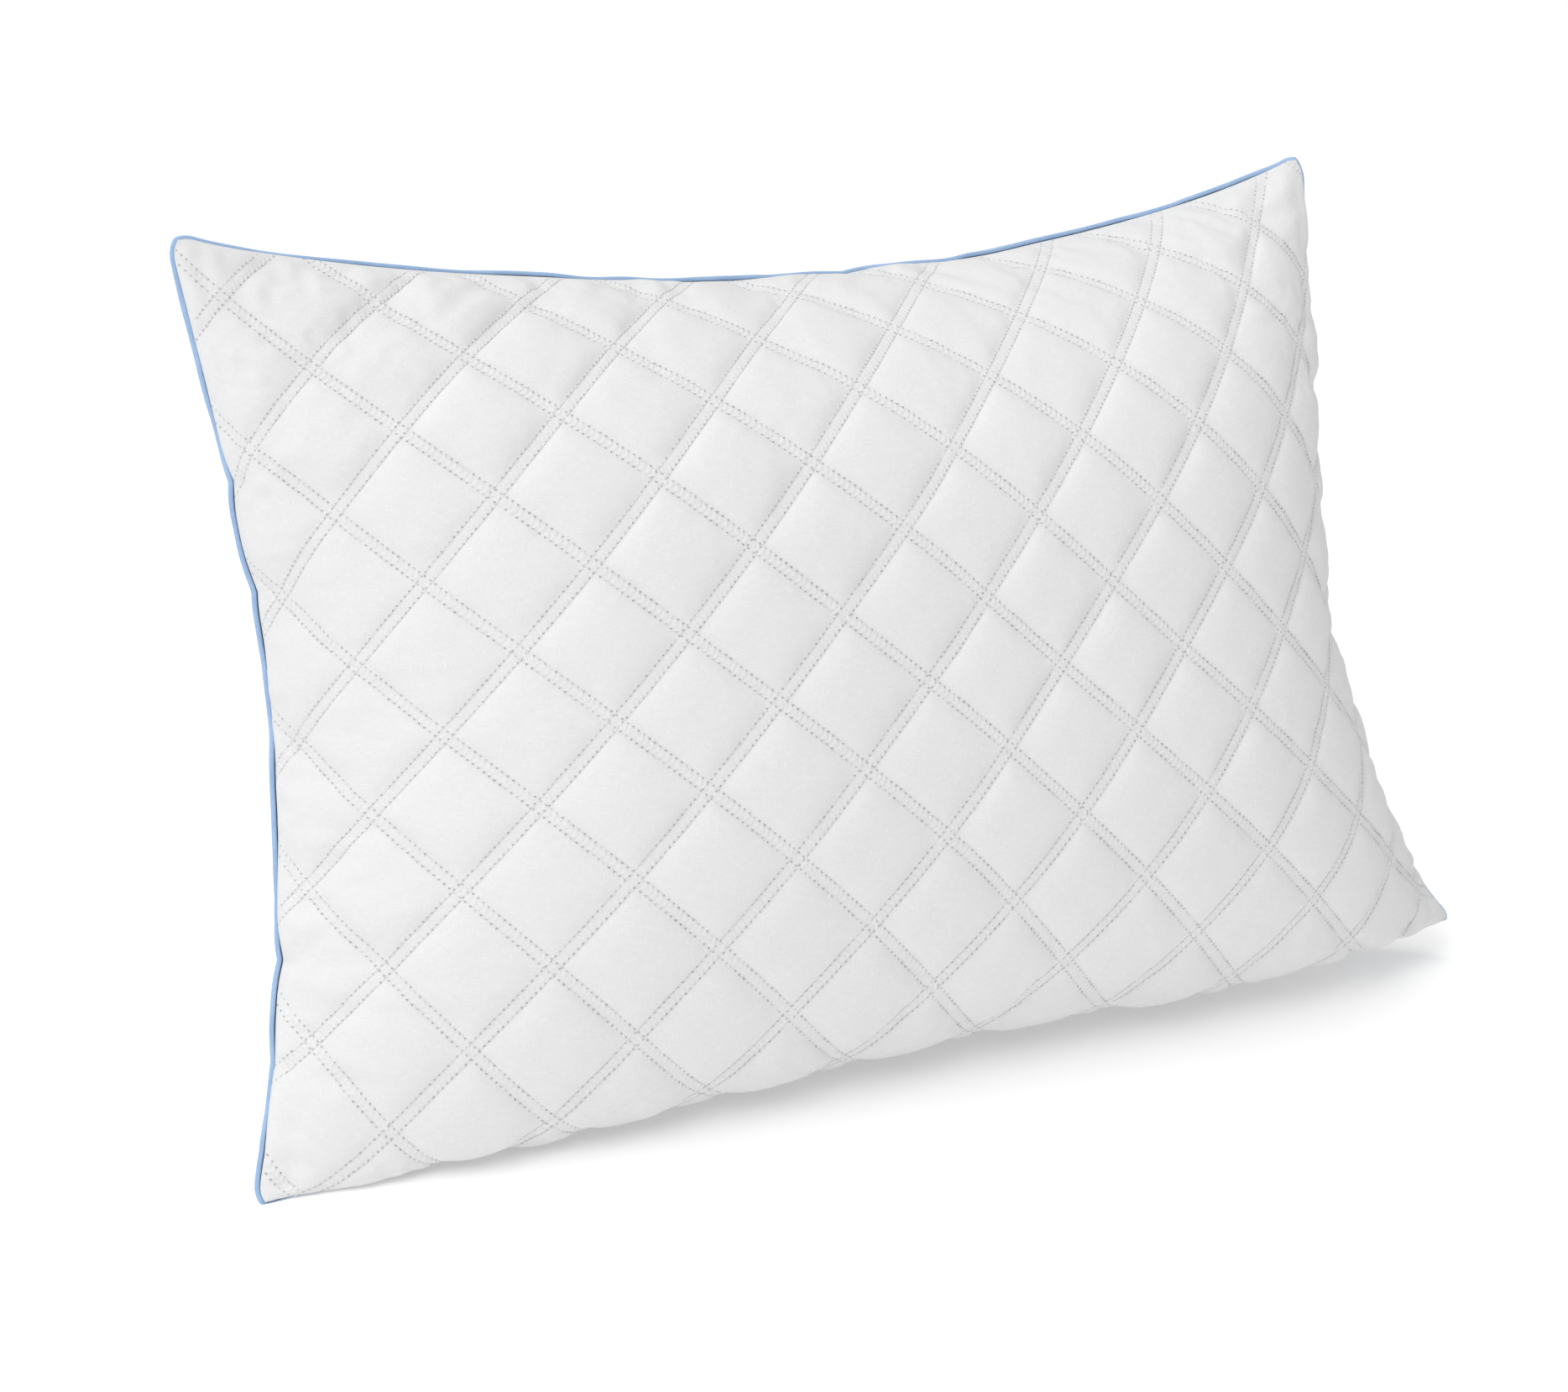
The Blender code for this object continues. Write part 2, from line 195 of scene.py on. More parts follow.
class Finish(bpy.types.PropertyGroup):
    """Colours"""

    cotton: colour("Cotton", "The face fabric", (0.80, 0.80, 0.805))
    thread: colour("Thread", "The quilting thread", (0.84, 0.84, 0.845))
    piping: colour("Piping", "The bias strip round the cord", (0.33, 0.50, 0.76))
    wadding: colour("Wadding", "The batting under the fabric", (0.80, 0.80, 0.79))
    floor: colour("Floor", "The studio floor", (0.90, 0.90, 0.90))


class Studio(bpy.types.PropertyGroup):
    """The camera and the light"""

    azimuth: turn("Azimuth", "Of the view, from straight ahead", 26.24)
    pitch: turn("Pitch", "How far the camera looks down", 18.22)
    roll: turn("Roll", "Of the camera", 0.148)
    distance: length("Distance", "Camera to the point that it looks at", 1.2492)
    aim: FloatVectorProperty(name="Aim", description="Point that the camera looks at", subtype="XYZ",
                             unit="LENGTH", default=(-0.0616, 0.0289, 0.2162))
    lens: number("Lens", "Focal length in millimetres", 51.74)
    ambient: number("Ambient", "Strength of the white surround", 0.42)
    glow: number("Floor glow", "Light that the floor itself gives, as a lit sweep does", 0.22)
    overhead: number("Overhead", "Strength of the broad light from above", 1.5)
    key: number("Key", "Power of the main lamp, watts", 27.0)


GROUPS = {"pillow_shape": PillowShape, "pillow_quilting": Quilting, "pillow_trim": Trim,
          "pillow_finish": Finish, "pillow_studio": Studio}


# ---------------------------------------------------------------- the pillow's surface

def crown(place, fullness, power):
    """Height of the crown along one line, 1 in the middle and 0 at the seam."""
    return np.clip(1 - np.abs(place) ** fullness, 0, 1) ** power


def arc_table(half, loft, fullness, power):
    """Place on the crown against share of the cloth's length from the middle to the seam, and that length."""
    place = 1 - (1 - np.linspace(0, 1, 241)) ** 2
    rise = loft / 2 * crown(place, fullness, power)
    run = np.concatenate([[0], np.cumsum(np.hypot(np.diff(place * half), np.diff(rise)))])
    return run / run[-1], place, run[-1]


class Surface:
    """The pillow's outside, as a rule from a place on the flat cloth to a place in the frame."""

    def __init__(self, shape):
        self.shape = s = shape
        half_width = s.width / 2 - (s.pull_left + s.pull_right) / 2
        half_height = s.height / 2 - (s.pull_top + s.pull_bottom) / 2
        self.across = arc_table(half_width, s.loft, s.fullness_across, s.power_across)
        self.up = arc_table(half_height, s.loft, s.fullness_up, s.power_up)
        self.half_u, self.half_v = self.across[2], self.up[2]
        self.origin = np.zeros(3)
        edge = np.linspace(-1, 1, 161)
        u, v = np.meshgrid(edge * self.half_u, edge * self.half_v)
        points = np.concatenate([self.at(u, v, side).reshape(-1, 3) for side in (FRONT, BACK)])
        centre = (points.min(0) + points.max(0)) / 2
        frame_centre = (np.array(CAD_LOW) + np.array(CAD_HIGH)) / 2
        self.origin = np.array([frame_centre[0] - centre[0], frame_centre[1] - centre[1], 0])

    def relaxed(self, u, v):
        """Places from -1 to 1 on the crown of a point of the flat cloth."""
        s = np.clip(u / self.half_u, -1, 1)
        t = np.clip(v / self.half_v, -1, 1)
        a = np.sign(s) * np.interp(np.abs(s), self.across[0], self.across[1])
        c = np.sign(t) * np.interp(np.abs(t), self.up[0], self.up[1])
        return s + (a - s) * (1 - t * t), t + (c - t) * (1 - s * s)

    def at(self, u, v, side):
        """Points of one face, before any relief. A side of 0 gives the seam's own surface."""
        q = self.shape
        a, c = self.relaxed(u, v)
        x, z = a * q.width / 2, c * q.height / 2
        x, z = self.rounded(x, z)
        left, right, bottom, top = (np.clip(k, 0, 1) for k in (-a, a, -c, c))
        x = x - a * np.where(a < 0, q.pull_left, q.pull_right) * np.clip(1 - c * c, 0, 1) ** q.pull_shape_side
        z = z - c * np.where(c < 0, q.pull_bottom, q.pull_top) * np.clip(1 - a * a, 0, 1) ** q.pull_shape_long
        y = q.left_bow * left ** 4 * (1 - c * c) + q.right_bow * right ** 4 * (1 - c * c)
        y = y + q.top_bow * top ** 4 * (1 - a * a)
        for corner, weight in ((q.top_left, top * left), (q.top_right, top * right),
                               (q.bottom_left, bottom * left), (q.bottom_right, bottom * right)):
            x = x + corner[0] * weight ** 2
            y = y + corner[1] * weight ** 2
            z = z + corner[2] * weight ** 2
        bulge_side = q.pinch * np.abs(line_noise(v, 0.052, 131))
        bulge_top = q.pinch * np.abs(line_noise(u, 0.058, 137))
        x = x + bulge_side * (right ** 16 - left ** 16) * (1 - c * c)
        z = z + bulge_top * top ** 16 * (1 - a * a) / 2
        rise = (q.loft / 2 - q.rim) * crown(a, q.fullness_across, q.power_across)
        rise = rise * crown(c, q.fullness_up, q.power_up) * (1 - q.belly * c) * (1 + q.drift * a)
        y = y + side * (q.rim + rise)
        above = 1 + c
        press = q.settle_front if side == FRONT else q.settle_back if side == BACK else 0
        press = press * (1 - np.exp(-above / q.settle_start)) * np.exp(-above / q.settle_reach)
        press = press * crown(a, q.fullness_across, q.power_across)
        h = z - press + q.height / 2
        place = [x, y * cos(q.lean) + h * sin(q.lean),
                 np.maximum(h * cos(q.lean) - y * sin(q.lean) + q.corner_lift, 0)]
        return np.stack(place, -1) + self.origin

    def rounded(self, x, z):
        """Pull points of a sharp-cornered rectangle in, so that its corners are round."""
        q = self.shape
        radius = q.corner_radius
        straight_x, straight_z = q.width / 2 - radius, q.height / 2 - radius
        over_x = np.clip((np.abs(x) - straight_x) / radius, 0, 1)
        over_z = np.clip((np.abs(z) - straight_z) / radius, 0, 1)
        corner = (over_x > 0) & (over_z > 0)
        new_x = np.sign(x) * (straight_x + radius * over_x * np.sqrt(1 - over_z ** 2 / 2))
        new_z = np.sign(z) * (straight_z + radius * over_z * np.sqrt(1 - over_x ** 2 / 2))
        return np.where(corner, new_x, x), np.where(corner, new_z, z)


def lattice_noise(u, v, size_u, size_v, seed):
    """Smooth noise from -1 to 1, with bumps of about the given sizes."""
    lattice = np.random.default_rng(seed).uniform(-1, 1, (97, 89))
    x, y = u / size_u + 400.0, v / size_v + 400.0
    i, j = np.floor(x).astype(int), np.floor(y).astype(int)
    fx, fy = x - i, y - j
    fx, fy = fx ** 3 * (fx * (6 * fx - 15) + 10), fy ** 3 * (fy * (6 * fy - 15) + 10)
    corner = lambda di, dj: lattice[(i + di) % 97, (j + dj) % 89]
    low = corner(0, 0) * (1 - fx) + corner(1, 0) * fx
    high = corner(0, 1) * (1 - fx) + corner(1, 1) * fx
    return low * (1 - fy) + high * fy


def line_noise(run, size, seed):
    """Smooth noise along a line."""
    return lattice_noise(run, run * 0, size, 1.0, seed)


def layered_noise(u, v, size_u, size_v, seed, layers=3):
    """Lattice noise with finer layers on top."""
    shares = [1.8 ** -k for k in range(layers)]
    finer = [lattice_noise(u, v, size_u / 2 ** k, size_v / 2 ** k, seed + k) for k in range(layers)]
    return sum(share * noise for share, noise in zip(shares, finer)) / sum(shares)


# ---------------------------------------------------------------- the quilted relief

def row_distances(quilting, u, v):
    """Signed distances, across the cloth, from the middle of the nearest row of each direction."""
    spacing = sqrt(2) * quilting.half_diagonal
    falling = (u - quilting.first_u + v - quilting.first_v) / sqrt(2)
    rising = (u - quilting.first_u - v + quilting.first_v) / sqrt(2)
    wrap = lambda d: d - spacing * np.round(d / spacing)
    return wrap(falling), wrap(rising), falling, rising


def half_gap(quilting):
    """From the middle of a row to each of its two stitch lines."""
    return quilting.row_cells * quilting.half_diagonal / quilting.divisions / sqrt(2)


def swell(distance, gap, half_spacing):
    """Profile of the padding from a stitch line, 0, to the middle of a diamond, 1."""
    share = np.clip((np.abs(distance) - gap) / (half_spacing - gap), 0, 1)
    return (1 - (1 - share) ** 3) ** 0.7


def quilt_relief(quilting, u, v, side):
    """Height of the padded diamonds, the rolls between stitch lines and the small gathers."""
    spacing, gap = sqrt(2) * quilting.half_diagonal, half_gap(quilting)
    d_falling, d_rising, falling, rising = row_distances(quilting, u, v)
    column = np.floor(falling / spacing).astype(int)
    row = np.floor(rising / spacing).astype(int)
    fullness = np.random.default_rng(11 + side).uniform(0.82, 1.16, (61, 61))[column % 61, row % 61]
    puff = swell(d_falling, gap, spacing / 2) * swell(d_rising, gap, spacing / 2) * fullness
    puff = puff * (1 + 0.10 * layered_noise(u, v, 0.022, 0.022, 31 + side))
    roll = np.zeros_like(u)
    for d, other in ((d_falling, d_rising), (d_rising, d_falling)):
        inside = np.clip(1 - (d / gap) ** 2, 0, 1)
        roll = np.maximum(roll, inside * np.clip(np.abs(other) / gap, 0, 1))
    gathers = np.zeros_like(u)
    for k, (d, along) in enumerate(((d_falling, rising), (d_rising, falling))):
        near = np.exp(-np.clip(np.abs(d) - gap, 0, None) / 0.006) * np.clip(np.abs(d) / gap - 0.8, 0, 1)
        gathers = gathers + near * lattice_noise(along, d, 0.0065, 0.02, 51 + k + side)
    return quilting.puff * puff + quilting.ridge * roll + quilting.pucker * gathers


def fade(distance, reach_length):
    """1 at no distance, dying away over a length."""
    return np.exp(-np.clip(distance, 0, None) / reach_length)


def seam_relief(surface, u, v, side):
    """Wrinkles that run in from the seams, and the creases that the lean presses into the face."""
    lu, lv = surface.half_u, surface.half_v
    inward = {"left": u + lu, "right": lu - u, "bottom": v + lv, "top": lv - v}
    wrinkle = 0.0010 * layered_noise(u, v, 0.090, 0.070, 111 + side)
    for noise, table in ((layered_noise, RADIATING), (lattice_noise, CREASES)):
        for seam, height, reach_in, size_u, size_v, seed in table:
            wave = noise(u, v, size_u, size_v, seed + side)
            wrinkle = wrinkle + height * fade(inward[seam], reach_in) * wave
    return wrinkle


# ---------------------------------------------------------------- mesh helpers

def grid_lines(half, start, cell):
    """Places of the mesh lines along one direction: on the quilt's lattice, and the seam at each end."""
    first = int(np.ceil((-half + 0.5 * cell - start) / cell))
    last = int(np.floor((half - 0.5 * cell - start) / cell))
    return np.concatenate([[-half], start + cell * np.arange(first, last + 1), [half]])


def grid_mesh(name, columns, rows):
    """A flat grid mesh, with each vertex's column and row number."""
    shell = bmesh.new()
    bmesh.ops.create_grid(shell, x_segments=columns - 1, y_segments=rows - 1, size=0.5)
    mesh = bpy.data.meshes.new(name)
    shell.to_mesh(mesh)
    shell.free()
    flat = np.empty(len(mesh.vertices) * 3, np.float32)
    mesh.vertices.foreach_get("co", flat)
    flat = flat.reshape(-1, 3)
    column = np.rint((flat[:, 0] + 0.5) * (columns - 1)).astype(int)
    row = np.rint((flat[:, 1] + 0.5) * (rows - 1)).astype(int)
    return mesh, column, row


def set_uv(mesh, u, v):
    """Give each vertex its place on the flat cloth, in metres."""
    corners = np.empty(len(mesh.loops), np.int32)
    mesh.loops.foreach_get("vertex_index", corners)
    layer = mesh.uv_layers.new(name=FLAT)
    layer.data.foreach_set("uv", np.stack([u[corners], v[corners]], -1).astype(np.float32).ravel())


def finished(name, mesh, material):
    """Turn a mesh into a smooth object with its material."""
    mesh.name = name
    mesh.shade_smooth()
    mesh.materials.append(material)
    piece = bpy.data.objects.new(name, mesh)
    bpy.context.scene.collection.objects.link(piece)
    return piece


def normals_of(points, side):
    """Unit normals, out of the pillow, of a grid of points."""
    along_u, along_v = np.gradient(points, axis=0), np.gradient(points, axis=1)
    normal = np.cross(along_u, along_v) * (1 if side == FRONT else -1)
    return normal / np.maximum(np.linalg.norm(normal, axis=-1, keepdims=True), 1e-12)


def sheet_piece(name, grid, u, v, side, material):
    """A sheet from a grid of points, one row of vertices for each row of the grid."""
    mesh, column, row = grid_mesh(name, *grid.shape[:2])
    mesh.vertices.foreach_set("co", grid[column, row].astype(np.float32).ravel())
    set_uv(mesh, u[column, row], v[column, row])
    if side == BACK:
        mesh.flip_normals()
    mesh.update()
    return finished(name, mesh, material)


def slack_cloth(surface, side):
    """Simulate a cloth that is cut a little too large for the filled face, and return its wrinkles.

    The cloth is held at the seam and pressed out from inside.  What it gains over the smooth crown, less
    the broad swelling, is the height of the wrinkles at even places on the flat cloth."""
    us = np.linspace(-surface.half_u, surface.half_u, SLACK_COLUMNS)
    vs = np.linspace(-surface.half_v, surface.half_v, SLACK_ROWS)
    u, v = np.meshgrid(us, vs, indexing="ij")
    base = surface.at(u, v, side)
    normals = normals_of(base, side)
    wobble = SLACK_START * layered_noise(u, v, 0.030, 0.030, 131 + side)
    start = base + normals * wobble[..., None]
    mesh, column, row = grid_mesh("slack", *u.shape)
    mesh.vertices.foreach_set("co", start[column, row].astype(np.float32).ravel())
    if side == BACK:
        mesh.flip_normals()
    cloth = bpy.data.objects.new("slack", mesh)
    bpy.context.scene.collection.objects.link(cloth)
    held = cloth.vertex_groups.new(name="seam")
    border = (column == 0) | (column == len(us) - 1) | (row == 0) | (row == len(vs) - 1)
    held.add([int(i) for i in np.flatnonzero(border)], 1.0, "REPLACE")
    drape = cloth.modifiers.new("cloth", "CLOTH")
    settings = drape.settings
    settings.vertex_group_mass = held.name
    settings.effector_weights.gravity = 0.0
    for key, value in SLACK_SETTINGS.items():
        setattr(settings, key, value)
    drape.collision_settings.use_collision = False
    scene = bpy.context.scene
    drape.point_cache.frame_start, drape.point_cache.frame_end = 1, SLACK_FRAMES
    for frame_number in range(1, SLACK_FRAMES + 1):
        scene.frame_set(frame_number)
    shaped = cloth.evaluated_get(bpy.context.evaluated_depsgraph_get()).data
    flat = np.empty(len(mesh.vertices) * 3, np.float32)
    shaped.vertices.foreach_get("co", flat)
    scene.frame_set(1)
    settled = np.empty_like(base)
    settled[column, row] = flat.reshape(-1, 3)
    bpy.data.objects.remove(cloth)
    gain = ((settled - base) * normals).sum(-1)
    broad = gain
    for _ in range(BROAD_ROUNDS):
        broad = soften(broad)
    return us, vs, np.clip(gain - broad, -SLACK_LIMIT, SLACK_LIMIT)


def soften(field):
    """Each value's mean with its neighbours'."""
    wide = np.pad(field, 1, mode="edge")
    across = (wide[:-2, 1:-1] + 2 * wide[1:-1, 1:-1] + wide[2:, 1:-1]) / 4
    wide = np.pad(across, 1, mode="edge")
    return (wide[1:-1, :-2] + 2 * wide[1:-1, 1:-1] + wide[1:-1, 2:]) / 4


def smoothly(field, coarse, fine):
    """A field at finer places along its first direction, on a smooth curve through its values."""
    place = (fine - coarse[0]) / (coarse[1] - coarse[0])
    start = np.clip(np.floor(place).astype(int), 0, len(coarse) - 2)
    t = (place - start)[:, None]
    a, b, c, d = (field[np.clip(start + k, 0, len(coarse) - 1)] for k in (-1, 0, 1, 2))
    return b + 0.5 * t * (c - a + t * (2 * a - 5 * b + 4 * c - d + t * (3 * (b - c) + d - a)))


class Face:
    """One quilted face: where its mesh lines lie on the flat cloth, and their places in the frame."""

    def __init__(self, side):
        scene = bpy.context.scene
        self.side = side
        self.quilting = q = scene.pillow_quilting
        self.surface = Surface(scene.pillow_shape)
        cell = q.half_diagonal / q.divisions
        self.us = grid_lines(self.surface.half_u, q.first_u, cell)
        self.vs = grid_lines(self.surface.half_v, q.first_v, cell)
        self.u, self.v = np.meshgrid(self.us, self.vs, indexing="ij")
        base = self.surface.at(self.u, self.v, side)
        normals = normals_of(base, side)
        edge = np.minimum(self.surface.half_u - np.abs(self.u), self.surface.half_v - np.abs(self.v))
        near_seam = 1 - np.exp(-edge / 0.006)
        relief = quilt_relief(q, self.u, self.v, side) * (1 - np.exp(-edge / 0.012))
        relief = relief + seam_relief(self.surface, self.u, self.v, side) * near_seam
        coarse_u, coarse_v, wrinkles = slack_cloth(self.surface, side)
        wrinkles = smoothly(wrinkles, coarse_u, self.us)
        slackness = 0.15 + 0.85 * np.exp(-edge / 0.045)
        relief = relief + smoothly(wrinkles.T, coarse_v, self.vs).T * near_seam * slackness
        self.points = base + normals * relief[..., None]
        self.points[..., 2] = np.maximum(self.points[..., 2], 0)
        self.normals = normals_of(self.points, side)

    def sample(self, field, u, v):
        """A field's value at places on the flat cloth."""
        i = np.clip(np.searchsorted(self.us, u) - 1, 0, len(self.us) - 2)
        j = np.clip(np.searchsorted(self.vs, v) - 1, 0, len(self.vs) - 2)
        fu = ((u - self.us[i]) / (self.us[i + 1] - self.us[i]))[:, None]
        fv = ((v - self.vs[j]) / (self.vs[j + 1] - self.vs[j]))[:, None]
        low = field[i, j] * (1 - fu) + field[i + 1, j] * fu
        high = field[i, j + 1] * (1 - fu) + field[i + 1, j + 1] * fu
        return low * (1 - fv) + high * fv


FACES = {}


def face(side):
    """The quilted face on one side, worked out once."""
    if side not in FACES:
        FACES[side] = Face(side)
    return FACES[side]


# ---------------------------------------------------------------- materials

class Number:
    """A number in a material, so that shader maths reads as Python."""

    def __init__(self, shader, socket):
        self.shader, self.socket = shader, socket

    def maths(self, operation, *others):
        return self.shader.maths(operation, self, *others)

    def __add__(self, other):
        return self.maths("ADD", other)

    def __sub__(self, other):
        return self.maths("SUBTRACT", other)

    def __rsub__(self, other):
        return self.shader.maths("SUBTRACT", other, self)

    def __mul__(self, other):
        return self.maths("MULTIPLY", other)

    def __truediv__(self, other):
        return self.maths("DIVIDE", other)

    def __abs__(self):
        return self.maths("ABSOLUTE")

    def to_nearest(self, spacing):
        """Distance to the nearest whole number of spacings."""
        return self.maths("PINGPONG", spacing / 2)

    def or_more(self, other):
        return self.maths("MAXIMUM", other)


class Shader:
    """A node material in the making."""

    def __init__(self, name):
        self.material = bpy.data.materials.new(name)
        self.material.use_nodes = True
        self.tree = self.material.node_tree
        self.surface = self.tree.nodes["Principled BSDF"]

    def add(self, kind, settings=None, values=None, output=0):
        """Add a node: its settings first, then the values or links of its sockets."""
        node = self.tree.nodes.new(kind)
        for key, setting in (settings or {}).items():
            setattr(node, key, setting)
        for key, value in (values or {}).items():
            self.feed(node.inputs[key], value)
        return Number(self, node.outputs[output])

    def maths(self, operation, *values):
        return self.add("ShaderNodeMath", {"operation": operation}, dict(enumerate(values)))

    def feed(self, socket, value):
        if isinstance(value, Number):
            self.tree.links.new(value.socket, socket)
        else:
            socket.default_value = value

    def set(self, **values):
        """Set or link sockets of the surface; an underscore stands for a space."""
        for key, value in values.items():
            self.feed(self.surface.inputs[key.replace("_", " ")], value)

    def cloth_place(self):
        """The two coordinates on the flat cloth, in metres."""
        place = self.add("ShaderNodeUVMap", {"uv_map": FLAT})
        split = self.add("ShaderNodeSeparateXYZ", None, {"Vector": place})
        return split, Number(self, split.socket.node.outputs[1])

    def vector(self, x, y):
        return self.add("ShaderNodeCombineXYZ", None, {"X": x, "Y": y})

    def object_place(self, scale=1.0):
        """The place in the object, in metres, times a scale."""
        place = self.add("ShaderNodeTexCoord", output=3)
        return self.add("ShaderNodeVectorMath", {"operation": "SCALE"}, {0: place, 3: scale})

    def noise(self, place, detail=2.0, rough=0.5):
        return self.add("ShaderNodeTexNoise", None,
                        {"Vector": place, "Scale": 1.0, "Detail": detail, "Roughness": rough})

    def step(self, value, low, high):
        """0 below low and 1 above high, smooth between."""
        return self.add("ShaderNodeMapRange", {"interpolation_type": "SMOOTHSTEP"},
                        {"Value": value, "From Min": low, "From Max": high})

    def mix(self, factor, first, second):
        """A mix of two colours."""
        return self.add("ShaderNodeMix", {"data_type": "RGBA"}, {0: factor, 6: first, 7: second}, output=2)

    def bump(self, height, distance, strength):
        values = {"Height": height, "Distance": distance, "Strength": strength}
        return self.add("ShaderNodeBump", None, values)


def rgba(tint, share=1.0):
    """A colour, or a share of it, with full opacity."""
    return (tint[0] * share, tint[1] * share, tint[2] * share, 1.0)


def along_rows(quilting, u, v):
    """For each direction of the rows, the places across them and along them."""
    q = quilting
    falling = (u + v - (q.first_u + q.first_v)) / sqrt(2)
    rising = (u - v - (q.first_u - q.first_v)) / sqrt(2)
    return (falling, rising), (rising, falling)


def near_needle_holes(shader, u, v):
    """1 at each needle hole of the double rows, 0 away from them: where the cotton gets its painted hole
    shade and its dents.
    """
    q = bpy.context.scene.pillow_quilting
    spacing, gap = sqrt(2) * q.half_diagonal, half_gap(q)
    hole_shade_and_dent = []
    for across, along in along_rows(q, u, v):
        row = abs(across.to_nearest(spacing) - gap)
        hole = along.to_nearest(q.pitch)
        away = (row * row + hole * hole).maths("SQRT")
        hole_shade_and_dent.append(1.0 - shader.step(away, *HOLE_EDGE))
    return hole_shade_and_dent[0].or_more(hole_shade_and_dent[1])


def gathers_between_rows(shader, u, v):
    """Small gathers that each stitch pulls up between the two stitch lines of a row."""
    q = bpy.context.scene.pillow_quilting
    spacing, gap = sqrt(2) * q.half_diagonal, half_gap(q)
    sways = shader.noise(shader.vector(u * 260.0, v * 260.0), 1.0)
    gathers = []
    for across, along in along_rows(q, u, v):
        row = across.to_nearest(spacing)
        between = 1.0 - shader.step(row, gap * 0.7, gap * 1.35)
        slanted = along + row * 0.35 + sways * 0.0022
        gathers.append(between * slanted.to_nearest(q.pitch) * (2 / q.pitch))
    return gathers[0].or_more(gathers[1])


def cotton_material():
    """White plain-woven cotton with faint slubs, and painted shade where the quilting needles went through:
    each needle hole darkens the colour and dents the bump.
    """
    tint = bpy.context.scene.pillow_finish.cotton
    shader = Shader("white cotton")
    u, v = shader.cloth_place()
    warp = shader.noise(shader.vector(u * 2600.0, v * 220.0), 3.0)
    weft = shader.noise(shader.vector(u * 200.0, v * 2400.0), 3.0)
    cloudy = shader.noise(shader.vector(u * 26.0, v * 26.0), 2.0)
    yarn = warp.or_more(weft)
    hole_shade_and_dent = near_needle_holes(shader, u, v)
    shade = shader.mix(shader.step(yarn, 0.36, 0.74), rgba(tint, 0.93), rgba(tint, 1.03))
    shade = shader.mix(shader.step(cloudy, 0.3, 0.7) * 0.35, shade, rgba(tint, 0.985))
    # painted shade: noise makes the shade painted into some needle holes weaker than in others, and their
    # dents shallower
    uneven_hole_noise = shader.noise(shader.vector(u * 420.0, v * 420.0), 1.0)
    hole_shade_and_dent = hole_shade_and_dent * shader.step(uneven_hole_noise, 0.25, 0.60)
    # painted shade: each needle hole darkens the cotton to about a third of its colour, standing in for the
    # shade inside the hole
    shade = shader.mix(hole_shade_and_dent * 0.62, shade, rgba(tint, 0.36))
    shader.set(Base_Color=shade, Roughness=shader.step(yarn, 0.2, 0.9) * 0.10 + 0.80)
    gathers = gathers_between_rows(shader, u, v)
    weave = shader.bump(yarn - hole_shade_and_dent * 1.4 + gathers * 1.1, 0.00034, 0.75)
    shader.set(Normal=weave, Sheen_Weight=0.12, Sheen_Roughness=0.5, Specular_IOR_Level=0.25)
    return shader.material


def thread_material():
    """White sewing thread, two plies."""
    shader = Shader("quilting thread")
    fuzz = shader.noise(shader.object_place(4200.0), 2.0)
    tint = bpy.context.scene.pillow_finish.thread
    shader.set(Base_Color=shader.mix(fuzz, rgba(tint, 0.93), rgba(tint)), Roughness=0.55,
               Normal=shader.bump(fuzz, 0.0001, 0.5))
    return shader.material


def piping_material():
    """Pale blue bias strip: a fine weave at 45 degrees to its length, with painted highlights in paler
    patches.
    """
    tint = bpy.context.scene.pillow_finish.piping
    shader = Shader("blue piping")
    u, v = shader.cloth_place()
    one_way = shader.noise(shader.vector((u + v) * 2200.0, (u - v) * 260.0), 2.0)
    other_way = shader.noise(shader.vector((u + v) * 260.0, (u - v) * 2200.0), 2.0)
    yarn = one_way.or_more(other_way)
    # painted highlights: soft patches of paler, whiter blue stand in for light catching the piping
    painted_highlight = shader.noise(shader.vector(u * 60.0, v * 60.0), 2.0)
    shade = shader.mix(shader.step(yarn, 0.3, 0.75), rgba(tint, 0.80), rgba(tint, 1.08))
    shade = shader.mix(shader.step(painted_highlight, 0.35, 0.75) * 0.35, shade, rgba((0.50, 0.66, 0.90)))
    shader.set(Base_Color=shade, Roughness=shader.step(yarn, 0.2, 0.9) * 0.1 + 0.72,
               Normal=shader.bump(yarn, 0.0003, 0.6), Sheen_Weight=0.15, Specular_IOR_Level=0.3)
    return shader.material


def fibre_material(name, tint, scale):
    """Loose white fibre."""
    shader = Shader(name)
    fibres = shader.noise(shader.object_place(scale), 4.0, 0.7)
    shader.set(Base_Color=shader.mix(fibres, rgba(tint, 0.90), rgba(tint, 1.0)), Roughness=0.95,
               Normal=shader.bump(fibres, 0.0015, 0.6))
    return shader.material


# ---------------------------------------------------------------- the operators

class PILLOW_OT_front_panel(bpy.types.Operator):
    """Build the quilted front panel"""

    bl_idname = "pillow.front_panel"
    bl_label = "Front Panel"

    def execute(self, context):
        make_panel("front", FRONT)
        return {"FINISHED"}


class PILLOW_OT_back_panel(bpy.types.Operator):
    """Build the quilted back panel"""

    bl_idname = "pillow.back_panel"
    bl_label = "Back Panel"

    def execute(self, context):
        make_panel("back", BACK)
        return {"FINISHED"}


def make_panel(word, side):
    """One face fabric, quilted, in place of its plain solid."""
    cloth = face(side)
    material = bpy.data.materials.get("white cotton") or cotton_material()
    panel = sheet_piece(f"{word}_panel", cloth.points, cloth.u, cloth.v, side, material)
    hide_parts(f"{word}_face_fabric")
    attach(panel, "root")


